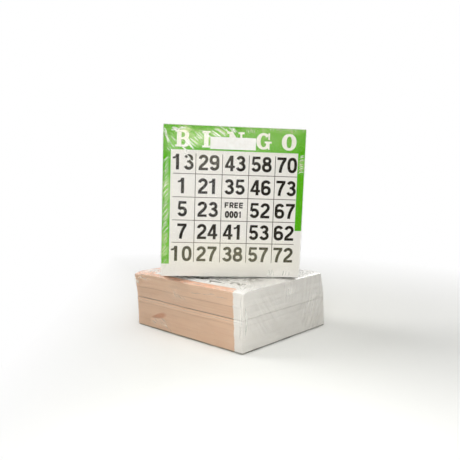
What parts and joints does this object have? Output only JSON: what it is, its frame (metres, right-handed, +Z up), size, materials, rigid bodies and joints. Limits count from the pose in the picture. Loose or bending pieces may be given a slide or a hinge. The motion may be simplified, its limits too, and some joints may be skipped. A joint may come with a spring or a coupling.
{
  "type": "bingo card packs",
  "caption": "Two clear-wrapped packs of loose paper bingo cards: one lies flat, the other stands on its foot edge on top and lifts off.",
  "frame": {"origin": "middle of the lying pack's lowest card, on the underside that rests on the table", "axes": "+Z up, -Y the way the standing pack's printed face looks, +X to the right of that face; the lying pack is turned 42.8 degrees about Z under it"},
  "size_m": [0.1519, 0.1503, 0.155],
  "materials": {
    "film": "clear glossy shrink film with fine creases",
    "card_face_orange": "uncoated paper, printed grid with an orange border",
    "card_face_green": "uncoated paper, printed grid with a green border",
    "card_stack_orange": "cut paper edges, tanned by the orange border that runs to the edge",
    "card_stack_green": "cut paper edges, tinted by the green border that runs to the edge",
    "label": "smooth blank white label"
  },
  "bodies": {
    "lying_pack": {"lower_film": "film", "lower_top_card": "card_face_orange", "lower_cards_1": "card_stack_orange", "lower_cards_2": "card_stack_orange", "lower_cards_3": "card_stack_orange", "lower_cards_4": "card_stack_orange", "lower_cards_5": "card_stack_orange", "lower_cards_6": "card_stack_orange", "lower_cards_7": "card_stack_orange", "lower_cards_8": "card_stack_orange", "lower_cards_9": "card_stack_orange", "lower_cards_10": "card_stack_orange"},
    "standing_pack": {"upright_film": "film", "upright_label": "label", "upright_face_card": "card_face_green", "upright_cards_1": "card_stack_green", "upright_cards_2": "card_stack_green", "upright_cards_3": "card_stack_green", "upright_cards_4": "card_stack_green", "upright_cards_5": "card_stack_green", "upright_cards_6": "card_stack_green", "upright_cards_7": "card_stack_green", "upright_cards_8": "card_stack_green", "upright_cards_9": "card_stack_green", "upright_cards_10": "card_stack_green"}
  },
  "joints": [
    {"name": "standing_pack_lift", "type": "slide", "parent": "lying_pack", "child": "standing_pack", "axis": [0, 0, 1], "range_m": [0, 0.15]}
  ]
}
